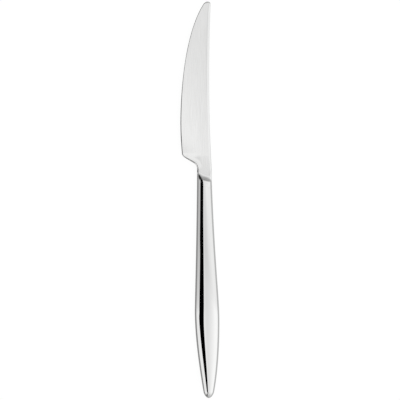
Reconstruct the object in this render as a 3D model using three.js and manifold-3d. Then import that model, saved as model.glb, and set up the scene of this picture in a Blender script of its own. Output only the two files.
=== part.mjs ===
// Dessert knife: a forged blade whose tang is cemented into a hollow handle of two pressed shells.
// Millimetres. Y runs from the butt to the tip, X from the cutting edge to the spine and Z through
// the thickness. The parts are shaped about the blade's middle plane and the middle of its neck.

import * as THREE from "three";
import { mergeVertices } from "three/addons/utils/BufferGeometryUtils.js";
import Module from "manifold-3d";

const wasm = await Module();
wasm.setup();

// Handle, in plan and in thickness
const LIP_FROM_BUTT = 115.1; // the handle's front edge, on the neck's middle line
const LIP_ANGLE = 16; // degrees that the lip runs back from the edge side to the spine side
const NECK_EDGE_REACH = 3.7; // from the middle line to the sides of the neck and of the lip
const NECK_SPINE_REACH = 4.1;
const LIP_THICKNESS = 6.3;
const EDGE_SWELL = 4.85; // the widest place of the side below the cutting edge
const EDGE_SWELL_FROM_BUTT = 46;
const SPINE_SWELL = 8.15; // the widest place of the side below the spine
const SPINE_SWELL_FROM_BUTT = 40;
const SWELL_THICKNESS = 7.2;
const THICKEST_FROM_BUTT = 44;
const BUTT_SHIFT = 2.5; // the butt's middle lies this far to the spine side
const BUTT_WIDTH = 4.4; // before its end is rounded
const BUTT_THICKNESS = 4.4;
const BUTT_ROUND = 3.5; // length over which the end is rounded
const CROWN_POWER = 2.1; // 2 gives elliptical sections, more gives fuller ones
const SHELL_WALL = 0.9;
const SEAM_GAP = 0.2; // thickness of the braze between the two shells
const MOUTH_GAP = 0.2; // thickness of the braze between the shells and the shoulder

// Blade
const NECK_THICKNESS = 2.1;
const HEEL_FROM_LIP = 13.3;
const HEEL_REACH = 11.75; // from the middle line to the heel's corner
const HEEL_ROUND = 1.6;
const NOTCH_ANGLE = 31; // degrees that the notch rises from the neck to the heel
const NOTCH_ROUND = 2;
const BELLY_FROM_LIP = 30.5; // the widest place of the cutting edge
const BELLY_BULGE = 0.75; // how far the edge bows out there, beyond the heel
const BELLY_EASE = 10; // how long the edge keeps straight above its widest place
const TIP_EASE = 21; // how long the edge keeps to its direction below the nose
const TIP_ANGLE = 32; // degrees between the edge and the knife's length at the nose
const NOSE_FROM_LIP = 93.5; // where the cutting edge passes into the blunt nose
const NOSE_REACH = 0.4; // the same place, from the middle line to the edge side
const NOSE_ROUND = 2.45;
const TIP_SPINE_REACH = 3.5; // the spine at the tip, from the middle line
const SPINE_HOLLOW = 1.1; // the spine dips this far below a straight line from neck to tip
const TIP_THICKNESS = 1.1;
const SPINE_FLAT = 5; // flat left along the spine at the heel, where the grinding stops
const SPINE_ROUND = 1.6; // width of the rounding along the spine
const SPINE_DROP = 0.35; // height of that rounding on each face
const EDGE_THICKNESS = 0.35;
const BEVEL_WIDTH = 0.6;
const BEVEL_THICKNESS = 0.85; // behind the bevel of the cutting edge

// Shoulder and tang
const SCOOP_RADIUS = 2.2;
const LIP_SWEEP = 2.6; // how far the lip runs forward along the edge side
const LIP_LAND = 2.6; // thickness of the shoulder behind its lip
const TANG_LENGTH = 50;
const TANG_WIDTH = 4.6;
const TANG_END_WIDTH = 3.2;
const TANG_THICKNESS = 1.6;
const FIT_GAP = 0.1; // clearance round the tang and inside the shells

// Fineness of the curved faces
const RING_POINTS = 40;
const HANDLE_STATIONS = 30;
const BLADE_STATIONS = 34;
const GRIND_STATIONS = 14;
const SIDE_STEPS = 4;
const LIP_STEPS = 12;
const CURVE_STEPS = 18;

const tipFromButt = LIP_FROM_BUTT + NOSE_FROM_LIP + NOSE_ROUND;
const bladeRoot = LIP_FROM_BUTT - NECK_EDGE_REACH - NECK_SPINE_REACH;
const beyond = 2 * tipFromButt;
const overlap = 0.2;
const radians = THREE.MathUtils.degToRad;
const mix = THREE.MathUtils.lerp;

// Solids from geometry and back
function solidOf(geometry) {
  geometry.deleteAttribute("normal");
  geometry.deleteAttribute("uv");
  const merged = mergeVertices(geometry, 1e-5);
  const mesh = new wasm.Mesh({
    numProp: 3,
    vertProperties: Float32Array.from(merged.attributes.position.array),
    triVerts: Uint32Array.from(merged.index.array),
  });
  return new wasm.Manifold(mesh);
}

function geometryOf(solid) {
  const mesh = solid.getMesh();
  const geometry = new THREE.BufferGeometry();
  geometry.setAttribute("position", new THREE.BufferAttribute(mesh.vertProperties, 3));
  geometry.setIndex(new THREE.BufferAttribute(mesh.triVerts, 1));
  return geometry;
}

// A skin over rings of equal point counts, closed at each end by a fan to a point.
function loft(rings, firstPoint, lastPoint) {
  const around = rings[0].length;
  const corners = [...rings.flat(), firstPoint, lastPoint];
  const first = corners.length - 2;
  const last = corners.length - 1;
  const lastRing = (rings.length - 1) * around;
  const faces = [];
  for (let i = 0; i < around; i++) {
    const j = (i + 1) % around;
    faces.push(first, j, i);
    for (let ring = 0; ring < lastRing; ring += around) {
      faces.push(ring + i, ring + j, ring + around + j);
      faces.push(ring + i, ring + around + j, ring + around + i);
    }
    faces.push(last, lastRing + i, lastRing + j);
  }
  const geometry = new THREE.BufferGeometry().setFromPoints(corners);
  geometry.setIndex(faces);
  return solidOf(geometry);
}

// A flat outline given thickness about the blade's middle plane.
function plate(outline, thickness) {
  const settings = { depth: thickness, bevelEnabled: false, curveSegments: CURVE_STEPS };
  return solidOf(new THREE.ExtrudeGeometry(outline, settings).translate(0, 0, -thickness / 2));
}

// All the space behind a plane parallel to the lip, so far ahead of it.
function behindLip(ahead) {
  const block = new THREE.BoxGeometry(beyond, beyond, beyond);
  block.translate(0, ahead - beyond / 2, 0);
  block.rotateZ(-radians(LIP_ANGLE));
  return solidOf(block.translate(0, LIP_FROM_BUTT, 0));
}

function slab(bottom, top) {
  const block = new THREE.BoxGeometry(beyond, beyond, top - bottom);
  return solidOf(block.translate(0, 0, (bottom + top) / 2));
}

// Where a curve that steadily rises or falls reaches a given Y.
function crossing(curve, y) {
  const rising = curve.getPoint(1).y > curve.getPoint(0).y;
  let low = 0;
  let high = 1;
  for (let step = 0; step < 40; step++) {
    const middle = (low + high) / 2;
    if (curve.getPoint(middle).y < y === rising) {
      low = middle;
    } else {
      high = middle;
    }
  }
  return curve.getPoint(low).x;
}

// Handle: a side runs from the lip out to its swell, then in to the butt. Lean and ease shape the
// run to the swell, and turn sets how soon the side bends in behind it.
function handleSide({ lip, swell, fromButt, butt, lean, ease, turn }) {
  const swellPoint = new THREE.Vector2(swell, fromButt);
  const front = new THREE.CubicBezierCurve(
    new THREE.Vector2(lip, LIP_FROM_BUTT),
    new THREE.Vector2(mix(lip, swell, lean), mix(LIP_FROM_BUTT, fromButt, 0.6)),
    new THREE.Vector2(swell, mix(fromButt, LIP_FROM_BUTT, ease)),
    swellPoint,
  );
  const back = new THREE.QuadraticBezierCurve(
    swellPoint,
    new THREE.Vector2(swell, fromButt * turn),
    new THREE.Vector2(butt, 0),
  );
  return (y) => crossing(y > fromButt ? front : back, y);
}

const edgeSide = handleSide({
  lip: -NECK_EDGE_REACH,
  swell: -EDGE_SWELL,
  fromButt: EDGE_SWELL_FROM_BUTT,
  butt: BUTT_SHIFT - BUTT_WIDTH / 2,
  lean: 0.34,
  ease: 0.08,
  turn: 0.63,
});
const spineSide = handleSide({
  lip: NECK_SPINE_REACH,
  swell: SPINE_SWELL,
  fromButt: SPINE_SWELL_FROM_BUTT,
  butt: BUTT_SHIFT + BUTT_WIDTH / 2,
  lean: 0.42,
  ease: 0.18,
  turn: 0.4,
});
const faceSide = handleSide({
  lip: LIP_THICKNESS / 2,
  swell: SWELL_THICKNESS / 2,
  fromButt: THICKEST_FROM_BUTT,
  butt: BUTT_THICKNESS / 2,
  lean: 0.42,
  ease: 0.18,
  turn: 0.3,
});

const handleMiddle = (y) => (edgeSide(y) + spineSide(y)) / 2;

function handleRing(y, inset) {
  const fromEnd = Math.min((y - inset) / (BUTT_ROUND - inset), 1);
  const rounding = Math.sqrt(1 - (1 - fromEnd) ** 2);
  const halfWidth = ((spineSide(y) - edgeSide(y)) / 2 - inset) * rounding;
  const halfThickness = (faceSide(y) - inset) * rounding;
  const bulge = (value) => Math.sign(value) * Math.abs(value) ** (2 / CROWN_POWER);
  const ring = [];
  for (let i = 0; i < RING_POINTS; i++) {
    const angle = (i / RING_POINTS) * 2 * Math.PI;
    const x = handleMiddle(y) + halfWidth * bulge(Math.cos(angle));
    ring.push(new THREE.Vector3(x, y, halfThickness * bulge(Math.sin(angle))));
  }
  return ring;
}

// The handle's form, drawn in by a wall or clearance, and carried on past the lip.
function handleForm(inset) {
  const front = LIP_FROM_BUTT + LIP_THICKNESS + LIP_SWEEP + SCOOP_RADIUS;
  const rings = [handleRing(front, inset)];
  for (let i = 0; i < HANDLE_STATIONS; i++) {
    const toButt = 1 - Math.sin((i / HANDLE_STATIONS) * (Math.PI / 2));
    rings.push(handleRing(mix(inset, LIP_FROM_BUTT, toButt), inset));
  }
  const frontMiddle = new THREE.Vector3(handleMiddle(front), front, 0);
  const end = new THREE.Vector3(handleMiddle(inset), inset, 0);
  return loft(rings, frontMiddle, end);
}

const outside = handleForm(0);
const wall = outside.subtract(handleForm(SHELL_WALL));
const behindMouth = behindLip(-LIP_LAND - MOUTH_GAP);
const handleWall = wall.intersect(behindMouth);
const frontShell = handleWall.intersect(slab(SEAM_GAP / 2, beyond));
const backShell = handleWall.intersect(slab(-beyond, -SEAM_GAP / 2));
const seamBraze = handleWall.intersect(slab(-SEAM_GAP / 2, SEAM_GAP / 2));
const mouthBraze = wall.intersect(behindLip(-LIP_LAND)).subtract(behindMouth);

// Blade outline: the edge side runs up the neck, round the notch and the heel to the nose
const heel = new THREE.Vector2(-HEEL_REACH, LIP_FROM_BUTT + HEEL_FROM_LIP);
const notchRise = (HEEL_REACH - NECK_EDGE_REACH) * Math.tan(radians(NOTCH_ANGLE));
const notch = new THREE.Vector2(-NECK_EDGE_REACH, heel.y - notchRise);
const notchHeading = new THREE.Vector2().subVectors(heel, notch).normalize();
const neckStart = new THREE.Vector2(notch.x, bladeRoot);
const neckEnd = new THREE.Vector2(notch.x, notch.y - NOTCH_ROUND);
const notchEnd = notch.clone().addScaledVector(notchHeading, NOTCH_ROUND);
const heelStart = heel.clone().addScaledVector(notchHeading, -HEEL_ROUND);
const heelEnd = new THREE.Vector2(heel.x, heel.y + HEEL_ROUND);
const belly = new THREE.Vector2(-HEEL_REACH - BELLY_BULGE, LIP_FROM_BUTT + BELLY_FROM_LIP);
const noseEdge = new THREE.Vector2(-NOSE_REACH, LIP_FROM_BUTT + NOSE_FROM_LIP);
const tipHeading = new THREE.Vector2(Math.sin(radians(TIP_ANGLE)), Math.cos(radians(TIP_ANGLE)));

const edgeCurves = [
  new THREE.LineCurve(neckStart, neckEnd),
  new THREE.QuadraticBezierCurve(neckEnd, notch, notchEnd),
  new THREE.LineCurve(notchEnd, heelStart),
  new THREE.QuadraticBezierCurve(heelStart, heel, heelEnd),
  new THREE.QuadraticBezierCurve(
    heelEnd,
    new THREE.Vector2(belly.x, mix(heelEnd.y, belly.y, 0.5)),
    belly,
  ),
  new THREE.CubicBezierCurve(
    belly,
    new THREE.Vector2(belly.x, belly.y + BELLY_EASE),
    noseEdge.clone().addScaledVector(tipHeading, -TIP_EASE),
    noseEdge,
  ),
];

const tipSpine = new THREE.Vector2(TIP_SPINE_REACH, noseEdge.y);
const neckSpine = new THREE.Vector2(NECK_SPINE_REACH, LIP_FROM_BUTT + LIP_SWEEP + SCOOP_RADIUS);
const noseCurve = new THREE.CubicBezierCurve(
  noseEdge,
  noseEdge.clone().addScaledVector(tipHeading, NOSE_ROUND),
  new THREE.Vector2(tipSpine.x, tipSpine.y + NOSE_ROUND * 0.8),
  tipSpine,
);
const spineCurve = new THREE.QuadraticBezierCurve(
  tipSpine,
  tipSpine.clone().lerp(neckSpine, 0.5).sub(new THREE.Vector2(2 * SPINE_HOLLOW, 0)),
  neckSpine,
);

const bladeOutline = new THREE.Shape();
edgeCurves.forEach((curve) => bladeOutline.add(curve));
bladeOutline.add(noseCurve);
bladeOutline.add(spineCurve);
bladeOutline.add(new THREE.LineCurve(neckSpine, new THREE.Vector2(neckSpine.x, bladeRoot)));

// Blade thickness: the neck's sides carry on the handle's crown, and from there the blade is ground
// down to a bevelled cutting edge and a rounded spine, and gets thinner to the tip
const spineAt = (y) => crossing(spineCurve, y);

function edgeAt(y) {
  const reached = edgeCurves.find((curve) => y < curve.getPoint(1).y);
  return crossing(reached ?? edgeCurves.at(-1), y);
}

// How far the handle's side lies in from its widest line, at a height on the lip's section.
function crownSet(height) {
  const up = (height / (LIP_THICKNESS / 2)) ** CROWN_POWER;
  return ((NECK_EDGE_REACH + NECK_SPINE_REACH) / 2) * (1 - (1 - up) ** (1 / CROWN_POWER));
}

function bladeRing(y) {
  const toTip = THREE.MathUtils.clamp((y - heel.y) / (tipFromButt - heel.y), 0, 1);
  const ground = THREE.MathUtils.smoothstep(y, neckEnd.y, heelEnd.y);
  const rounded = THREE.MathUtils.smoothstep(y, neckSpine.y, belly.y);
  const flat = mix(NECK_THICKNESS, TIP_THICKNESS, toTip) / 2;
  const edge = edgeAt(y);
  const back = spineAt(y);
  const edgeSlope = (BEVEL_THICKNESS - EDGE_THICKNESS) / 2 / BEVEL_WIDTH;
  const edgePoints = [];
  const spinePoints = [];
  for (let i = 0; i <= SIDE_STEPS; i++) {
    const up = i / SIDE_STEPS;
    const height = mix(flat / 4, flat, up);
    const bevel = mix(-overlap, BEVEL_WIDTH, up);
    const turn = up * (Math.PI / 2);
    const edgeIn = mix(crownSet(height), bevel, ground);
    const edgeUp = mix(height, EDGE_THICKNESS / 2 + edgeSlope * bevel, ground);
    const spineIn = mix(crownSet(height), SPINE_ROUND * (1 - Math.cos(turn)), rounded);
    const spineUp = mix(height, flat - SPINE_DROP * (1 - Math.sin(turn)), rounded);
    edgePoints.push([edge + edgeIn, edgeUp]);
    spinePoints.push([back - spineIn, spineUp]);
  }
  const flatFrom = [back - mix(SPINE_FLAT, SPINE_ROUND + overlap, toTip), flat];
  const face = [...edgePoints, flatFrom, ...spinePoints.reverse()];
  const top = face.map(([x, z]) => new THREE.Vector3(x, y, z)).reverse();
  const bottom = face.map(([x, z]) => new THREE.Vector3(x, y, -z));
  return [...top, ...bottom];
}

function bladeThickness() {
  const start = bladeRoot - overlap;
  const end = tipFromButt + overlap;
  const stops = [start, neckSpine.y];
  for (let i = 0; i < GRIND_STATIONS; i++) {
    stops.push(mix(neckEnd.y, heelEnd.y, i / GRIND_STATIONS));
  }
  for (let i = 0; i <= BLADE_STATIONS; i++) {
    stops.push(mix(heelEnd.y, end, Math.sin((i / BLADE_STATIONS) * (Math.PI / 2))));
  }
  stops.sort((a, b) => b - a);
  const rings = stops.map(bladeRing);
  const middleAt = (y) => new THREE.Vector3((edgeAt(y) + spineAt(y)) / 2, y, 0);
  return loft(rings, middleAt(end), middleAt(start));
}

// Shoulder: the handle's form carried on to the lip and scooped down to the neck on both faces. The
// scoop is a round-cornered profile, drawn along the lip and swept forward towards the edge side.
function scoop() {
  const flat = NECK_THICKNESS / 2;
  const high = flat + SCOOP_RADIUS;
  const far = LIP_SWEEP + 2 * SCOOP_RADIUS;
  const profile = new THREE.Shape();
  profile.moveTo(0, beyond);
  profile.lineTo(0, high);
  profile.absarc(SCOOP_RADIUS, high, SCOOP_RADIUS, Math.PI, 1.5 * Math.PI, false);
  profile.lineTo(far, flat);
  profile.lineTo(far, beyond);
  const points = profile.getPoints(CURVE_STEPS / 2);
  const stops = [-beyond];
  for (let i = 0; i <= LIP_STEPS; i++) {
    stops.push(mix(-NECK_EDGE_REACH, 0, i / LIP_STEPS));
  }
  stops.push(beyond);
  const turn = -radians(LIP_ANGLE);
  const place = (along, ahead, up) => {
    const sweep = LIP_SWEEP * THREE.MathUtils.smoothstep(-along, 0, NECK_EDGE_REACH);
    const corner = new THREE.Vector2(along, ahead + sweep).rotateAround(new THREE.Vector2(), turn);
    return new THREE.Vector3(corner.x, corner.y + LIP_FROM_BUTT, up);
  };
  const rings = stops.map((along) => points.map((point) => place(along, point.x, point.y)));
  return loft(rings, place(-beyond, far / 2, high), place(beyond, far / 2, high));
}

// Tang, or the slot for it when it is grown by a clearance
function tang(grow) {
  const end = LIP_FROM_BUTT - TANG_LENGTH;
  const rootMiddle = handleMiddle(LIP_FROM_BUTT);
  const endMiddle = handleMiddle(end);
  const halfRoot = TANG_WIDTH / 2 + grow;
  const halfEnd = TANG_END_WIDTH / 2 + grow;
  const outline = new THREE.Shape();
  outline.moveTo(rootMiddle - halfRoot, LIP_FROM_BUTT);
  outline.lineTo(endMiddle - halfEnd, end);
  outline.absarc(endMiddle, end, halfEnd, Math.PI, 2 * Math.PI, false);
  outline.lineTo(rootMiddle + halfRoot, LIP_FROM_BUTT);
  return plate(outline, TANG_THICKNESS + 2 * grow);
}

const upperScoop = scoop();
const lowerScoop = upperScoop.mirror([0, 0, 1]);
const shoulder = outside
  .intersect(behindLip(LIP_SWEEP + SCOOP_RADIUS))
  .subtract(upperScoop)
  .subtract(lowerScoop);
const blade = plate(bladeOutline, NECK_THICKNESS * 2)
  .intersect(bladeThickness())
  .subtract(behindLip(0))
  .add(shoulder.subtract(behindLip(-LIP_LAND)))
  .add(tang(0));
const tangCement = handleForm(SHELL_WALL + FIT_GAP)
  .intersect(behindLip(-LIP_LAND - FIT_GAP))
  .subtract(tang(FIT_GAP));

// Assembly
function piece(name, solid, colour, roughness, metalness) {
  const material = new THREE.MeshStandardMaterial({ color: colour, roughness, metalness });
  const mesh = new THREE.Mesh(geometryOf(solid), material);
  mesh.name = name;
  return mesh;
}

const handle = new THREE.Group();
handle.name = "handle";
handle.add(piece("front_handle_shell", frontShell, 0xdedfde, 0.06, 1));
handle.add(piece("back_handle_shell", backShell, 0xdedfde, 0.06, 1));
handle.add(piece("seam_braze", seamBraze, 0xd6d2c4, 0.15, 1));
handle.add(piece("mouth_braze", mouthBraze, 0xd6d2c4, 0.15, 1));
handle.add(piece("tang_cement", tangCement, 0x8c867a, 0.9, 0));

const knife = new THREE.Group();
knife.name = "dessert_knife";
knife.add(piece("blade", blade, 0xd8d8d6, 0.18, 1));
knife.add(handle);

// The knife lies on its side with the middle of its underside at the origin.
const bounds = new THREE.Box3().setFromObject(knife);
const middle = bounds.getCenter(new THREE.Vector3());
knife.position.set(-middle.x, -middle.y, -bounds.min.z);

export default knife;
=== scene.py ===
import math
from collections import namedtuple

import bpy
import numpy as np
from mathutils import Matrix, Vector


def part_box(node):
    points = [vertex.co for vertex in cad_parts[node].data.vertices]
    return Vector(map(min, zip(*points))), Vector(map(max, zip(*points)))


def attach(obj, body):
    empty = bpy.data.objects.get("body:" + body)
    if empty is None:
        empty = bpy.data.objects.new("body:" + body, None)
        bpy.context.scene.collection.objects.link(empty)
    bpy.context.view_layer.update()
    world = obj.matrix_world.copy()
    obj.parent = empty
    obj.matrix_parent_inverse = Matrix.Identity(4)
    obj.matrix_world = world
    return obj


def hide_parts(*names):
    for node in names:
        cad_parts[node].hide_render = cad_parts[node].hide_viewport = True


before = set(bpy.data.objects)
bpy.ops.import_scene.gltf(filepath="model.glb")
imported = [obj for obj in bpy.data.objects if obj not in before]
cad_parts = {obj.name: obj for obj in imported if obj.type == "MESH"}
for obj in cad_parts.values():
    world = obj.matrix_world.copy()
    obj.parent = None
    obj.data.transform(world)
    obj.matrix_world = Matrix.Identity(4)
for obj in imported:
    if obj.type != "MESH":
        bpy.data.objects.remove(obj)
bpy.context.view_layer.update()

bpy.ops.object.select_all(action="DESELECT")

# Blade
# One forging of stainless steel: the cutting blade, the flat neck, the scooped shoulder in front of
# the handle, and the tang that the handle is set on. The faces are ground thin from the spine to the
# edge and polished along their length.

# It is drawn in millimetres: x across towards the spine, y from the butt to the tip, and z up from
# the blade's middle plane. A height is half of a thickness.
LIP = 115.1  # the handle's front edge, on the middle line
LIP_RAKE = math.radians(16)  # the lip runs back from the edge side to the spine side
LIP_HEIGHT = 3.15
LIP_LAND = 2.6  # the shoulder's own part of the handle's form, behind the lip
NECK_EDGE = -3.7  # x of the neck's two sides
NECK_SPINE = 4.1
NECK_HEIGHT = 1.05


def bezier(*points, steps):
    """Places along a Bezier curve, each an x and a y."""
    along = np.linspace(0, 1, steps)[:, None]
    points = [np.array([point], float) for point in points]
    while len(points) > 1:
        points = [a + (b - a) * along for a, b in zip(points, points[1:])]
    return points[0]


def blend(low, high, share):
    return low + (high - low) * share


def ease(value, start, end):
    """0 before the start, 1 after the end, and an even bend between them."""
    share = min(max((value - start) / (end - start), 0), 1)
    return share * share * (3 - 2 * share)


def handle_side(lip, swell, swell_at, butt, lean, soften, turn, lean_at=0.6, steps=200):
    """One side of the handle, or its height, as a function of the distance from the butt.

    From the lip the line leans to a share of the swell, comes softly level there, and then turns
    in to the butt.
    """
    front = bezier(
        (lip, LIP),
        (blend(lip, swell, lean), blend(LIP, swell_at, lean_at)),
        (swell, blend(swell_at, LIP, soften)),
        (swell, swell_at),
        steps=steps,
    )
    back = bezier((swell, swell_at), (swell, swell_at * turn), (butt, 0), steps=steps)
    line = np.vstack([front, back[1:]])[::-1]
    return lambda y: float(np.interp(y, line[:, 1], line[:, 0]))


edge_side = handle_side(
    lip=NECK_EDGE, swell=-4.85, swell_at=46, butt=0.3, lean=0.34, soften=0.08, turn=0.63,
)
spine_side = handle_side(
    lip=NECK_SPINE, swell=8.15, swell_at=40, butt=4.7, lean=0.42, soften=0.18, turn=0.4,
)
handle_height = handle_side(
    lip=LIP_HEIGHT, swell=3.6, swell_at=44, butt=2.2, lean=0.42, soften=0.18, turn=0.3,
)

# Outline: the edge side runs up the neck, round the notch and the heel and along the edge to the
# blunt nose, and the spine side runs straight from the neck and then in a long hollow curve.
HEEL = np.array((-11.75, LIP + 13.3))
HEEL_CORNER = 1.6
NOTCH_SLOPE = math.radians(31)
NOTCH = np.array((NECK_EDGE, HEEL[1] + (HEEL[0] - NECK_EDGE) * math.tan(NOTCH_SLOPE)))
NOTCH_CORNER = 2
NECK_END = NOTCH - (0, NOTCH_CORNER)
BELLY = np.array((-12.5, LIP + 30.5))
BELLY_PULL = 10  # how long the curve keeps the belly's heading
NOSE = np.array((-0.4, LIP + 93.5))
NOSE_PULL = 2.45  # how long the nose keeps the edge's heading
TIP_LEAN = math.radians(32)  # of the edge, where it meets the nose
TIP_PULL = 21
TIP_SPINE = np.array((3.5, LIP + 93.5))
TIP_SPINE_PULL = 1.96
SPINE_START = np.array((NECK_SPINE, LIP + 4.8))
SPINE_HOLLOW = 2.2

notch_heading = (HEEL - NOTCH) / np.linalg.norm(HEEL - NOTCH)
notch_end = NOTCH + notch_heading * NOTCH_CORNER
heel_start = HEEL - notch_heading * HEEL_CORNER
heel_end = HEEL + (0, HEEL_CORNER)
tip_heading = np.array((math.sin(TIP_LEAN), math.cos(TIP_LEAN)))
nose = bezier(
    NOSE, NOSE + tip_heading * NOSE_PULL, TIP_SPINE + (0, TIP_SPINE_PULL), TIP_SPINE, steps=61,
)
top = int(nose[:, 1].argmax())
edge_line = np.vstack([
    bezier(NECK_END, NOTCH, notch_end, steps=10),
    bezier(notch_end, heel_start, steps=8)[1:],
    bezier(heel_start, HEEL, heel_end, steps=12)[1:],
    bezier(heel_end, (BELLY[0], (heel_end[1] + BELLY[1]) / 2), BELLY, steps=12)[1:],
    bezier(BELLY, BELLY + (0, BELLY_PULL), NOSE - tip_heading * TIP_PULL, NOSE, steps=44)[1:],
    nose[2:top - 1:2],
])
spine_middle = (SPINE_START + TIP_SPINE) / 2 - (SPINE_HOLLOW, 0)
spine_line = np.vstack([
    (NECK_SPINE, 0),
    bezier(SPINE_START, spine_middle, TIP_SPINE, steps=60),
    nose[top:-1][::-1],
])

# Rows of places across the face, from the handle's mouth to the nose. Those of the shoulder lie
# along the raked lip and fall down the scoop, and those of the neck turn square to the blade.
LAND_END = 0.15  # lengths ahead of the lip's line
SCOOP_START = 0.4
SCOOP_END = 3.0
LAND_ROWS = 10
SCOOP_ROWS = 16
NECK_SHARES = (0.03, 0.08, *np.linspace(0.15, 0.85, 8))  # closer together beside the scoop
NOSE_HEIGHT = 0.55

# A row has its two ends, the face's height, how far it lies ahead of the lip, its fall from the
# handle's crown at 0 to the neck at 1, how far it follows the lip forward along the edge side, and
# how much of it is the blade's ground face.
Row = namedtuple("Row", "edge spine height ahead fall follow ground")
rows = []


def add_shoulder_row(ahead, fall, follow):
    """Add a row along the raked lip."""
    middle_y = LIP + ahead / math.cos(LIP_RAKE)
    edge_y = middle_y - NECK_EDGE * math.tan(LIP_RAKE)
    spine_y = middle_y - NECK_SPINE * math.tan(LIP_RAKE)
    edge = (edge_side(edge_y), edge_y)
    spine = (spine_side(spine_y), spine_y)
    rows.append(Row(edge, spine, NECK_HEIGHT, ahead, fall, follow, ground=0))


def add_face_row(edge, spine_y, height, follow, ground):
    """Add a row from a place on the edge side to the spine."""
    spine = (np.interp(spine_y, spine_line[:, 1], spine_line[:, 0]), spine_y)
    rows.append(Row(edge, spine, height, SCOOP_END, 1, follow, ground))


for ahead in np.linspace(-LIP_LAND, LAND_END, LAND_ROWS):
    add_shoulder_row(ahead, 0, ease(ahead, -LIP_LAND, SCOOP_START))
for turn in np.linspace(0, math.pi / 2, SCOOP_ROWS):
    add_shoulder_row(blend(SCOOP_START, SCOOP_END, 1 - math.cos(turn)), math.sin(turn), 1)
last_row = rows[-1]
for share in NECK_SHARES:
    edge = (NECK_EDGE, blend(last_row.edge[1], NECK_END[1], share))
    spine_y = blend(last_row.spine[1], NECK_END[1], share)
    add_face_row(edge, spine_y, NECK_HEIGHT, 1 - share, ease(share, 0, 1))
for x, y in edge_line:
    thinning = max((y - HEEL[1]) / (NOSE[1] - HEEL[1]), 0)
    add_face_row((x, y), y, blend(NECK_HEIGHT, NOSE_HEIGHT, thinning), 0, 1)


def inward(places, side):
    """The direction square to an outline, into the blade, at each of its places."""
    places = np.array(places)
    along = np.cumsum(np.r_[0, np.hypot(*np.diff(places, axis=0).T)])
    heading = np.gradient(places, along, axis=0)
    heading /= np.linalg.norm(heading, axis=1)[:, None]
    return np.array((heading[:, 1], -heading[:, 0])).T * side


edge_inward = inward([row.edge for row in rows], 1)
spine_inward = inward([row.spine for row in rows], -1)

# Columns of places from the edge side to the spine side. On the shoulder they lie on the handle's
# crown, which drops a little at the lip, grows fuller there and falls to the flat neck.
SIDE_COLUMNS = 12
FACE_COLUMNS = 20
COLUMNS = 2 * SIDE_COLUMNS + FACE_COLUMNS
SIDE_MARGIN = 0.012  # share of the crown's half turn left to the wall at each side
CROWN_POWER = 2.1  # of the handle's section: 2 is an ellipse, and more is fuller
LIP_POWER = 2.3  # where the lip runs out
LIP_POWER_AT = 2  # ahead of the lip's line
LIP_POWER_DELAY = 1.5  # 1 is an even change, and more is a later one
NECK_POWER = 7
LIP_SWEEP = 2.6  # how far the lip runs forward along the edge side
SWEEP_START = -0.1  # shares of the half width
SWEEP_END = -0.9
SWEEP_LOSS = 0.6  # for each millimetre ahead of the lip
LIP_DROP = 0.5  # share of its height that the crown loses over the lip
LIP_DROP_START = -0.1
LIP_DROP_END = 3.2


def crown(across, power):
    """Share of its height that a crowned section has, so far from the middle."""
    return (1 - abs(across) ** power) ** (1 / power)


def shoulder_place(row, column):
    """A place on the shoulder, from the handle's crown down to the flat neck."""
    across = -math.cos(math.pi * blend(SIDE_MARGIN, 1 - SIDE_MARGIN, column / COLUMNS))
    x, y = blend(np.array(row.edge), np.array(row.spine), (1 + across) / 2)
    edgeward = ease(across, SWEEP_START, SWEEP_END)
    forward = row.follow * edgeward * (LIP_SWEEP - SWEEP_LOSS * max(row.ahead, 0))
    y += forward / math.cos(LIP_RAKE)
    ahead = row.ahead + forward
    fullness = ease(ahead, -LIP_LAND, LIP_POWER_AT) ** LIP_POWER_DELAY
    on_handle = handle_height(min(y, LIP)) * crown(across, blend(CROWN_POWER, LIP_POWER, fullness))
    on_handle *= 1 - LIP_DROP * ease(ahead, LIP_DROP_START - edgeward, LIP_DROP_END)
    on_neck = row.height * crown(across, NECK_POWER)
    return np.array((x, y, blend(on_handle, on_neck, row.fall)))


# On the blade they make a small round edge, a face that is ground thin from a flat along the spine,
# and a soft spine. The grind is full where the notch has widened out to the heel.
GRIND_START = HEEL[1] - 2
GRIND_END = HEEL[1] + 5
GRIND_BEND = 0.12  # softness of the turn from the flat to the ground face
NECK_ROUND = 0.8  # how far the roundings of the neck's two sides reach in
HEEL_ROUND = 0.6  # and that of the edge, from the heel on
TIP_ROUND = 0.3
TIP_ROUND_AT = BELLY[1] + 32
SPINE_ROUND = 1.6
NECK_WALL = 0.4  # height of the wall outside the rounding
EDGE_WALL = 0.16
EDGE_HEIGHT = 0.42  # inside the rounding
NECK_SPINE_FALL = 0.65  # what the rounding takes off the height
SPINE_FALL = 0.35
HEEL_FLAT = 4.8  # width of the flat
NOSE_FLAT = 0.2
MOST_FLAT = 0.7  # of the blade's width


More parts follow.
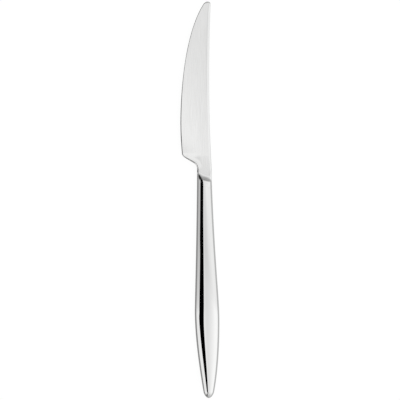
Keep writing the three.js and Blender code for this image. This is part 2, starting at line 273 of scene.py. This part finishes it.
def blade_place(index, column):
    """A place on the blade: on its edge, its ground face, its flat or its spine."""
    row = rows[index]
    y = row.edge[1]
    width = row.spine[0] - row.edge[0]
    widening = (NECK_EDGE - row.edge[0]) / (NECK_EDGE - HEEL[0])
    grind = max(min(widening, 1), ease(y, GRIND_START, GRIND_END))
    thinned = ease(y, NECK_END[1], BELLY[1])

    def edge_place(turn):
        reach = blend(blend(NECK_ROUND, HEEL_ROUND, grind), TIP_ROUND, ease(y, BELLY[1], TIP_ROUND_AT))
        inset = min(reach, width / 4) * (1 - math.cos(turn))
        wall = blend(NECK_WALL, EDGE_WALL, grind)
        height = blend(wall, blend(NECK_HEIGHT, EDGE_HEIGHT, grind), math.sin(turn))
        return np.array((*(row.edge + edge_inward[index] * inset), height))

    def spine_place(turn):
        inset = min(blend(NECK_ROUND, SPINE_ROUND, thinned), width / 4) * (1 - math.cos(turn))
        fall = blend(NECK_SPINE_FALL, SPINE_FALL, thinned) * (1 - math.sin(turn))
        return np.array((*(row.spine + spine_inward[index] * inset), row.height - fall))

    quarter = math.pi / 2
    if column <= SIDE_COLUMNS:
        return edge_place(quarter * column / SIDE_COLUMNS)
    if column >= SIDE_COLUMNS + FACE_COLUMNS:
        return spine_place(quarter * (COLUMNS - column) / SIDE_COLUMNS)
    share = (column - SIDE_COLUMNS) / FACE_COLUMNS
    start, end = edge_place(quarter), spine_place(quarter)
    place = blend(start, end, share)
    flat_share = min(blend(HEEL_FLAT, NOSE_FLAT, ease(y, HEEL[1], NOSE[1])) / width, MOST_FLAT)
    off_flat = max(1 - share / (1 - flat_share), 0)
    place[2] = blend(end[2], start[2], off_flat ** 2 * (1 + GRIND_BEND) / (off_flat + GRIND_BEND))
    return place


NOSE_ROUND = 0.8  # length over which the nose rounds off
NOSE_WALL = 0.2


def face_place(index, column):
    """A place on the upper face, where the shoulder turns into the blade."""
    row = rows[index]
    if row.ground == 0:
        return shoulder_place(row, column)
    place = blend(shoulder_place(row, column), blade_place(index, column), row.ground)
    from_nose = min(max((nose[top, 1] - place[1]) / NOSE_ROUND, 0), 1)
    place[2] = blend(NOSE_WALL, place[2], math.sqrt(1 - (1 - from_nose) ** 2))
    return place


# The face starts as a flat grid, whose own places count its columns and rows.
bpy.ops.mesh.primitive_grid_add(x_subdivisions=COLUMNS, y_subdivisions=len(rows) - 1, size=2)
blade = bpy.context.object
blade.name = "blade_forging"
for vertex in blade.data.vertices:
    column = round((vertex.co.x + 1) / 2 * COLUMNS)
    index = round((vertex.co.y + 1) / 2 * (len(rows) - 1))
    vertex.co = face_place(index, column)

# The other face mirrors the first, and walls close the edge, the spine and the mouth between them.
WELD = 0.002  # places closer than this become one
bpy.ops.object.mode_set(mode="EDIT")
bpy.ops.mesh.select_all(action="SELECT")
bpy.ops.mesh.extrude_region_move()
bpy.ops.transform.resize(value=(1, 1, -1), center_override=(0, 0, 0))
bpy.ops.mesh.select_all(action="SELECT")
bpy.ops.mesh.remove_doubles(threshold=WELD)
bpy.ops.mesh.normals_make_consistent(inside=False)
bpy.ops.object.mode_set(mode="OBJECT")

# The tang tapers back inside the handle, along its middle.
TANG_ROOT = LIP - 2
TANG_END = LIP - 50
TANG_WIDTH = 4.6
TANG_TAPER = 0.7
TANG_THICKNESS = 1.6
SHARP_TURN = math.radians(32)  # a steeper turn between two facets stays sharp
root_x = (edge_side(LIP) + spine_side(LIP)) / 2
end_x = (edge_side(TANG_END) + spine_side(TANG_END)) / 2
middle_y = (TANG_ROOT + TANG_END) / 2
bpy.ops.mesh.primitive_cube_add(size=1, location=(root_x, middle_y, 0))
tang = bpy.context.object
tang.scale = (TANG_WIDTH, TANG_ROOT - TANG_END, TANG_THICKNESS)
bpy.ops.object.transform_apply(location=True, scale=True)
bpy.ops.object.mode_set(mode="EDIT")
bpy.ops.mesh.select_all(action="DESELECT")
bpy.ops.object.mode_set(mode="OBJECT")
for vertex in tang.data.vertices:
    vertex.select = vertex.co.y < middle_y
bpy.ops.object.mode_set(mode="EDIT")
bpy.ops.transform.resize(value=(TANG_TAPER, 1, 1), center_override=(root_x, TANG_END, 0))
bpy.ops.transform.translate(value=(end_x - root_x, 0, 0))
bpy.ops.object.mode_set(mode="OBJECT")
blade.select_set(True)
bpy.context.view_layer.objects.active = blade
bpy.ops.object.join()
bpy.ops.object.shade_smooth_by_angle(angle=SHARP_TURN)

# Its place across brings the belly to the side of the solids' box. Along and up, it is that of the
# handle's seam.
MILLIMETRE = 0.001
PLACE_ACROSS = 0.002178
seam_low, seam_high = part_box("seam_braze")
DRAWING_PLACE = (PLACE_ACROSS, seam_low.y, (seam_low.z + seam_high.z) / 2)


def seat(piece):
    """Bring a piece drawn in millimetres into its place in the frame, in metres."""
    bpy.ops.object.select_all(action="DESELECT")
    piece.select_set(True)
    bpy.context.view_layer.objects.active = piece
    piece.scale = (MILLIMETRE, MILLIMETRE, MILLIMETRE)
    piece.location = DRAWING_PLACE
    bpy.ops.object.transform_apply(location=True, rotation=True, scale=True)


seat(blade)


class Wire:
    """A value in a node tree. Python's operators on it add Math nodes."""

    def __init__(self, tree, socket=None):
        self.tree = tree
        self.socket = socket

    def node(self, kind, settings=None, sockets=None, output=0):
        """Add a node, with its settings first and then its sockets' values or wires."""
        added = self.tree.nodes.new("ShaderNode" + kind)
        for name, setting in (settings or {}).items():
            if name == "stops":
                for place, grey in setting[1:-1]:
                    added.color_ramp.elements.new(place)
                for stop, (place, grey) in zip(added.color_ramp.elements, setting):
                    stop.position = place
                    stop.color = (grey, grey, grey, 1)
            else:
                setattr(added, name, setting)
        for name, value in (sockets or {}).items():
            if isinstance(value, Wire):
                self.tree.links.new(value.socket, added.inputs[name])
            else:
                added.inputs[name].default_value = value
        return Wire(self.tree, added.outputs[output])

    def maths(self, operation, first, second=0.0):
        return self.node("Math", {"operation": operation}, {0: first, 1: second})

    def __add__(self, other):
        return self.maths("ADD", self, other)

    __radd__ = __add__

    def __sub__(self, other):
        return self.maths("SUBTRACT", self, other)

    def __rsub__(self, other):
        return self.maths("SUBTRACT", other, self)

    def __mul__(self, other):
        return self.maths("MULTIPLY", self, other)

    __rmul__ = __mul__

    def noise(self, across, along, detail=2.0):
        """A noise from about 0 to 1, with so many waves in a millimetre across and along the knife."""
        place = self.node("Mapping", sockets={"Vector": self, "Scale": (across, along, across)})
        return self.node("TexNoise", sockets={"Vector": place, "Scale": 1.0, "Detail": detail})

    def mapped(self, start, end, low=0.0, high=1.0, bend="LINEAR"):
        """A low before the start, a high after the end, and the way between them."""
        limits = {0: self, 1: start, 2: end, 3: low, 4: high}
        return self.node("MapRange", {"interpolation_type": bend}, limits)

    def lines(self, width):
        """1 along the thin lines where a noise crosses its middle value, and 0 elsewhere."""
        return self.maths("ABSOLUTE", self - 0.5).mapped(0.0, width, 1.0, 0.0)

    def relief(self, strength, depth):
        """Turn a height into a surface's normal, with the depth in metres."""
        return self.node("Bump", sockets={"Height": self, "Strength": strength, "Distance": depth})

    def mixed(self, low, high):
        """A colour between two, by this value."""
        colours = {0: self, 6: (*low, 1), 7: (*high, 1)}  # where a Mix node has its two colours
        return self.node("Mix", {"data_type": "RGBA"}, colours, output=2)


def new_finish(name):
    """A new material, and the wire of places on the piece in millimetres."""
    material = bpy.data.materials.new(name)
    material.use_nodes = True
    metres = Wire(material.node_tree).node("TexCoord", output="Object")
    scaling = {"operation": "SCALE"}
    return material, metres.node("VectorMath", scaling, {0: metres, "Scale": 1 / MILLIMETRE})


def surface(material, sockets):
    """Set the values and wires of a material's surface."""
    shader = material.node_tree.nodes["Principled BSDF"]
    for name, value in sockets.items():
        if isinstance(value, Wire):
            material.node_tree.links.new(value.socket, shader.inputs[name])
        else:
            shader.inputs[name].default_value = value


def coat(piece, material):
    """Make a material the only one of a piece."""
    piece.data.materials.clear()
    piece.data.materials.append(material)


# Fine polishing grain along the blade, with broader streaks, cloudy patches and a few scratches.
satin_steel, place = new_finish("satin_blade_steel")
grain = place.noise(across=9, along=0.12)
polish = (grain - 0.5) * 3 + 0.5
streaks = place.noise(across=1.6, along=0.02, detail=3.0)
patches = place.noise(across=0.09, along=0.05)
scratches = place.noise(across=1.1, along=0.07, detail=1.0).lines(width=0.008)
tone = polish * 0.55 + streaks * 0.2 + patches * 0.25
surface(satin_steel, {
    "Base Color": (tone - scratches * 0.25).mixed((0.76, 0.76, 0.755), (0.88, 0.88, 0.875)),
    "Metallic": 1.0,
    "Roughness": 0.02 + polish * 0.03 + patches * 0.02 + scratches * 0.06,
    "Normal": grain.relief(strength=0.35, depth=0.000003),
})
coat(blade, satin_steel)
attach(blade, "root")
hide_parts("blade")

# Tang cement
# A filled resin cement poured into the hollow handle, which sets hard round the tang. It is matt,
# grey-brown and gritty, and nothing of it shows once the handle is closed.
cement_grit, place = new_finish("tang_cement_grit")
grit = place.noise(across=5, along=5, detail=5.0)
lumps = place.noise(across=0.5, along=0.5)
surface(cement_grit, {
    "Base Color": (grit * 0.7 + lumps * 0.3).mixed((0.17, 0.155, 0.125), (0.36, 0.335, 0.28)),
    "Roughness": 0.8 + lumps * 0.2,
    "Normal": grit.relief(strength=0.6, depth=0.0001),
})
coat(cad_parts["tang_cement"], cement_grit)

# Handle shells
# Two halves pressed from stainless sheet, joined on the blade's middle plane, filed flush and
# polished to a mirror. Each is a crowned half drop, open at the mouth, with a wall of even thickness.
SHELL_WALL = 0.9
SEAM_GAP = 0.2
MOUTH_GAP = 0.2
BUTT_ROUND = 3.5  # length over which the butt rounds off
BUTT_LAST_TURN = 0.04  # of the last ring, before the butt closes in a point
RING_PLACES = 72
HANDLE_RINGS = 48
BUTT_RINGS = 16
SHELL_SHARP_TURN = math.radians(40)


def handle_ring(y):
    """Middle, half width and height of the handle, for a distance from the butt."""
    rounding = math.sqrt(1 - (1 - min(y / BUTT_ROUND, 1)) ** 2)
    half_width = (spine_side(y) - edge_side(y)) / 2
    return (spine_side(y) + edge_side(y)) / 2, half_width * rounding, handle_height(y) * rounding


def handle_form(name):
    """The outside of the whole handle, closed at the butt, from a ring drawn out along it."""
    bpy.ops.object.select_all(action="DESELECT")
    bpy.ops.mesh.primitive_circle_add(vertices=RING_PLACES, radius=1, rotation=(math.pi / 2, 0, 0))
    form = bpy.context.object
    form.name = name
    bpy.ops.object.transform_apply(rotation=True)
    for vertex in form.data.vertices:
        vertex.co.x = math.copysign(abs(vertex.co.x) ** (2 / CROWN_POWER), vertex.co.x)
        vertex.co.z = math.copysign(abs(vertex.co.z) ** (2 / CROWN_POWER), vertex.co.z)
    butt_turns = np.linspace(math.pi / 2, BUTT_LAST_TURN, BUTT_RINGS)[1:]
    stations = [
        *np.linspace(LIP + 1, BUTT_ROUND, HANDLE_RINGS),
        *(BUTT_ROUND * (1 - math.cos(turn)) for turn in butt_turns),
    ]
    bpy.ops.object.mode_set(mode="EDIT")
    bpy.ops.mesh.select_all(action="SELECT")
    middle, half_width, height = handle_ring(stations[0])
    bpy.ops.transform.resize(value=(half_width, 1, height), center_override=(0, 0, 0))
    bpy.ops.transform.translate(value=(middle, stations[0], 0))
    for last_y, y in zip(stations, stations[1:]):
        last_middle, last_half_width, last_height = handle_ring(last_y)
        middle, half_width, height = handle_ring(y)
        step = (middle - last_middle, y - last_y, 0)
        bpy.ops.mesh.extrude_region_move(TRANSFORM_OT_translate={"value": step})
        bpy.ops.transform.resize(
            value=(half_width / last_half_width, 1, height / last_height),
            center_override=(middle, y, 0),
        )
    bpy.ops.mesh.merge(type="CENTER")
    bpy.ops.object.mode_set(mode="OBJECT")
    return form


def cut_away(place, direction):
    """Cut the form in hand along a plane, and take away what lies beyond it."""
    bpy.ops.object.mode_set(mode="EDIT")
    bpy.ops.mesh.select_all(action="SELECT")
    bpy.ops.mesh.bisect(plane_co=place, plane_no=direction, clear_outer=True)
    bpy.ops.object.mode_set(mode="OBJECT")


def give_wall(form):
    """Thicken a form inward to the wall of the shells."""
    bpy.ops.object.mode_set(mode="EDIT")
    bpy.ops.mesh.select_all(action="SELECT")
    bpy.ops.mesh.remove_doubles(threshold=WELD)
    bpy.ops.mesh.normals_make_consistent(inside=False)
    bpy.ops.object.mode_set(mode="OBJECT")
    wall = form.modifiers.new("wall", "SOLIDIFY")
    wall.thickness = SHELL_WALL
    wall.offset = -1
    wall.use_even_offset = True
    bpy.ops.object.modifier_apply(modifier="wall")
    bpy.ops.object.shade_smooth_by_angle(angle=SHELL_SHARP_TURN)


# The mouth is cut along the raked shoulder, and the half below the seam is cut away.
SHOULDER_BACK = (0, LIP - LIP_LAND / math.cos(LIP_RAKE), 0)
MOUTH = (0, LIP - (LIP_LAND + MOUTH_GAP) / math.cos(LIP_RAKE), 0)
FORWARD = (math.sin(LIP_RAKE), math.cos(LIP_RAKE), 0)
BACKWARD = (-math.sin(LIP_RAKE), -math.cos(LIP_RAKE), 0)
UP = (0, 0, 1)
DOWN = (0, 0, -1)
front_shell = handle_form("front_shell")
cut_away(MOUTH, FORWARD)
cut_away((0, 0, SEAM_GAP / 2), DOWN)
give_wall(front_shell)

bpy.ops.object.duplicate()
back_shell = bpy.context.object
back_shell.name = "back_shell"
bpy.ops.object.mode_set(mode="EDIT")
bpy.ops.mesh.select_all(action="SELECT")
bpy.ops.transform.resize(value=(1, 1, -1), center_override=(0, 0, 0))
bpy.ops.mesh.flip_normals()
bpy.ops.object.mode_set(mode="OBJECT")
seat(front_shell)
seat(back_shell)

# A mirror polish, with a faint haze, fine hair lines and a few scuffs from use.
mirror_steel, place = new_finish("mirror_handle_steel")
haze = place.noise(across=0.12, along=0.06)
hairs = place.noise(across=14, along=0.3)
scuffs = place.noise(across=0.7, along=0.12, detail=1.0).lines(width=0.006)
tone = haze * 0.5 + hairs * 0.5
surface(mirror_steel, {
    "Base Color": (tone - scuffs * 0.2).mixed((0.77, 0.77, 0.765), (0.84, 0.84, 0.835)),
    "Metallic": 1.0,
    "Roughness": 0.01 + haze * 0.015 + hairs * 0.015 + scuffs * 0.05,
    "Normal": hairs.relief(strength=0.03, depth=0.000001),
})
for shell, node in ((front_shell, "front_handle_shell"), (back_shell, "back_handle_shell")):
    coat(shell, mirror_steel)
    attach(shell, "root")
    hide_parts(node)

# Brazed joints
# Silver braze that runs into the seam between the shells and into the ring between their mouth and
# the shoulder. It is filed and polished flush with the steel, and is a little warmer in colour.
seam = handle_form("seam_strip")
cut_away(MOUTH, FORWARD)
cut_away((0, 0, SEAM_GAP / 2), UP)
cut_away((0, 0, -SEAM_GAP / 2), DOWN)
give_wall(seam)
seat(seam)

ring = handle_form("mouth_ring")
cut_away(SHOULDER_BACK, FORWARD)
cut_away(MOUTH, BACKWARD)
give_wall(ring)
seat(ring)

silver_braze, place = new_finish("silver_braze")
flow = place.noise(across=0.8, along=0.8, detail=3.0)
pits = place.noise(across=6, along=6)
surface(silver_braze, {
    "Base Color": flow.mixed((0.76, 0.75, 0.72), (0.81, 0.805, 0.785)),
    "Metallic": 1.0,
    "Roughness": 0.03 + flow * 0.05 + pits * 0.03,
})
for braze, node in ((seam, "seam_braze"), (ring, "mouth_braze")):
    coat(braze, silver_braze)
    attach(braze, "root")
    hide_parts(node)

# Studio
# A white table inside a soft white tent. A black strip hangs in the tent above the edge side, and
# draws the long dark line in the handle. Dark cards draw the line's hook and the line in the notch.
TABLE_SIZE = 8
TABLE_GREY = (0.86, 0.86, 0.86, 1)
TABLE_GLOW = 1.03  # as the camera sees it
GLOW_SHARE = 0.9  # the rest is shaded, and keeps the knife's shadow
# The table's glow for glossy rays is a painted reflection: a grey with painted shade on the edge side,
# growing lighter towards the spine side.
PAINTED_REFLECTION_FROM = -8.0  # millimetres across the table, over which its glow in the steel grows
PAINTED_REFLECTION_TO = 12.0
PAINTED_REFLECTION_EDGE_SIDE = 0.24
PAINTED_REFLECTION_SPINE_SIDE = 0.54
bpy.ops.object.select_all(action="DESELECT")
bpy.ops.mesh.primitive_plane_add(size=TABLE_SIZE)
floor = bpy.context.object
floor.name = "table"
table_white, place = new_finish("table_white")
surface(table_white, {"Base Color": TABLE_GREY, "Roughness": 0.7})
camera_ray = place.node("LightPath", output="Is Camera Ray")
glossy_ray = place.node("LightPath", output="Is Glossy Ray")
table_x = place.node("SeparateXYZ", sockets={0: place}, output="X")
# Painted reflection: the grey that the steel mirrors from the table, darker on the edge side as
# painted shade.
painted_reflection = table_x.mapped(PAINTED_REFLECTION_FROM, PAINTED_REFLECTION_TO, PAINTED_REFLECTION_EDGE_SIDE, PAINTED_REFLECTION_SPINE_SIDE)
glow = place.node("Emission", sockets={
    "Color": camera_ray * TABLE_GLOW + glossy_ray * painted_reflection,
    "Strength": 1.0,
})
shaded = Wire(place.tree, place.tree.nodes["Principled BSDF"].outputs[0])
glow_share = (camera_ray + glossy_ray) * GLOW_SHARE
white = place.node("MixShader", sockets={0: glow_share, 1: shaded, 2: glow})
place.tree.links.new(white.socket, place.tree.nodes["Material Output"].inputs["Surface"])
coat(floor, table_white)

# The tent is drawn by the direction that light comes from: its shares to the spine, to the tip and
# upward, and its angle round the knife from straight up, in degrees.
tent = bpy.data.worlds.new("studio_tent")
tent.use_nodes = True
bpy.context.scene.world = tent
ray = Wire(tent.node_tree).node("TexCoord", output="Generated")
to_spine = ray.node("SeparateXYZ", sockets={0: ray}, output="X")
to_tip = ray.node("SeparateXYZ", sockets={0: ray}, output="Y")
upward = ray.node("SeparateXYZ", sockets={0: ray}, output="Z")
to_edge = -1 * to_spine
to_butt = -1 * to_tip
round_knife = ray.maths("ARCTAN2", to_spine, upward) * math.degrees(1)


def graded(value, stops):
    """The grey at a value, from stops of a value and a grey."""
    low, high = stops[0][0], stops[-1][0]
    shares = [((at - low) / (high - low), grey) for at, grey in stops]
    return value.node("ValToRGB", {"stops": shares}, {0: (value - low) * (1 / (high - low))})


def gradual(value, start, end):
    """0 before the start, 1 after the end, and an even bend between them."""
    return value.mapped(start, end, bend="SMOOTHSTEP")


def within(value, start, full, fading, end):
    """1 inside a range and 0 outside it, with a soft start and end."""
    return gradual(value, start, full) * (1 - gradual(value, fading, end))


# Its cloth is lightest beside the spine, and darkens towards the two ends.
SIDE_GREY = 0.8
TENT_LIGHT = 1.953
round_grey = graded(round_knife, (
    (-180, 0.5), (-90, 0.78), (-50, 0.82), (-14, 0.83), (-8, 0.765), (-6.5, 0.75), (-4.5, 0.745),
    (-2.5, 0.735), (0, 0.728), (25, 0.84), (50, 0.93), (90, 0.92), (180, 0.5),
))
overhead_grey = graded(to_tip, (
    (-0.1, 0.8), (-0.03, 0.74), (-0.01, 0.67), (0.01, 0.73), (0.03, 0.87), (0.05, 0.86), (0.1, 0.8),
))
end_grey = graded(to_tip, (
    (-1, 0.42), (-0.75, 0.6), (-0.55, 0.74), (-0.3, 0.8), (0, 0.8), (0.1, 0.78), (0.18, 0.77),
    (0.25, 0.62), (0.46, 0.45), (0.7, 0.33), (1, 0.27),
))
beside = gradual(ray.maths("ABSOLUTE", to_spine), 0.25, 0.8)
cloth = round_grey * end_grey * (overhead_grey + (SIDE_GREY - overhead_grey) * beside) * TENT_LIGHT

# Thin shades hang in the tip's half of the tent, on the edge side, on the spine side and overhead.
# Each takes a share of the light.
EDGE_SHADE = 0.38
SPINE_SHADE = 0.11
TOP_SHADE = 0.1
edge_shade = gradual(to_tip, -0.08, 0.0) * ray.maths("LESS_THAN", round_knife, -30.0)
spine_shade = gradual(to_tip, -0.035, 0.0) * gradual(to_spine, 0.3, 0.7)
top_shade = gradual(to_tip, 0.03, 0.08) * within(to_spine, 0.006, 0.03, 0.1, 0.2)
shades = (1 - edge_shade * EDGE_SHADE) * (1 - spine_shade * SPINE_SHADE) * (1 - top_shade * TOP_SHADE)

# The strip's near and far sides are set in degrees from straight up to the edge side. They step in
# and out along the knife, and lean in overhead towards the butt.
STRIP_NEAR = 13.8
NEAR_OUT_AT_BUTT = 2.8
NEAR_IN_AT_LIP = 4.5
NEAR_SOFT = 1.3
STRIP_FAR = 47.5
FAR_OUT_AT_BUTT = 4.5
FAR_OUT_IN_FRONT = 5.3
FAR_IN_AT_LIP = 9
FAR_SOFT = 1.5
STRIP_LEAN = 7
to_strip = -1 * round_knife * (1 + ray.maths("MINIMUM", to_tip, 0.0) * to_tip * STRIP_LEAN)
behind_lip = 1 - gradual(to_tip, 0.027, 0.035)
near = STRIP_NEAR + gradual(to_butt, 0.045, 0.09) * NEAR_OUT_AT_BUTT
near = near - gradual(to_tip, -0.005, 0.025) * behind_lip * NEAR_IN_AT_LIP
far = STRIP_FAR + gradual(to_butt, 0.06, 0.085) * FAR_OUT_AT_BUTT
far = far + gradual(to_tip, -0.018, -0.008) * FAR_OUT_IN_FRONT
far = far - gradual(to_tip, 0.012, 0.026) * behind_lip * FAR_IN_AT_LIP
strip_ends = 1 - gradual(ray.maths("ABSOLUTE", to_tip), 0.52, 0.66)
strip = within(to_strip, near, near + NEAR_SOFT, far, far + FAR_SOFT) * strip_ends

# One card hangs beyond the tip on the edge side. The other hangs behind the butt, and is turned to
# the edge side by an angle in degrees.
HOOK_CARD_SHARE = 0.88  # of the light that it takes
NOTCH_CARD_SHARE = 0.82
hook_card = gradual(to_tip, 0.36, 0.46) * gradual(to_edge, 0.28, 0.4)
hook_card = hook_card * within(upward, 0.24, 0.34, 0.68, 0.78)
from_butt = ray.maths("ARCTAN2", to_edge, to_butt) * math.degrees(1)
notch_card = within(from_butt, 16.0, 25.0, 38.0, 47.0) * gradual(to_butt, 0.22, 0.45)
notch_card = notch_card * (1 - gradual(upward, 0.6, 0.88))
cards = (1 - strip) * (1 - hook_card * HOOK_CARD_SHARE) * (1 - notch_card * NOTCH_CARD_SHARE)

MATT_FILL = 0.6  # more light for what isn't polished
seen = ray.node("LightPath", output="Is Camera Ray")
matt_ray = ray.node("LightPath", output="Is Diffuse Ray")
tent_glow = ray.node("Background", sockets={
    "Color": seen + (1 - seen) * (cloth * shades * cards + matt_ray * MATT_FILL),
    "Strength": 1.0,
})
tent.node_tree.links.new(tent_glow.socket, tent.node_tree.nodes["World Output"].inputs["Surface"])

# Camera
# It looks straight down on the knife from a metre above its middle plane, and takes in the
# photograph's square.
CAMERA_PLACE = (0.00006, -0.0001, 1.0036)
PICTURE_WIDTH = 0.21202  # a metre from the camera
bpy.ops.object.camera_add(location=CAMERA_PLACE, rotation=(0, 0, 0))
camera = bpy.context.object
camera.data.angle = 2 * math.atan(PICTURE_WIDTH / 2)
bpy.context.scene.camera = camera
bpy.context.scene.view_settings.view_transform = "Standard"
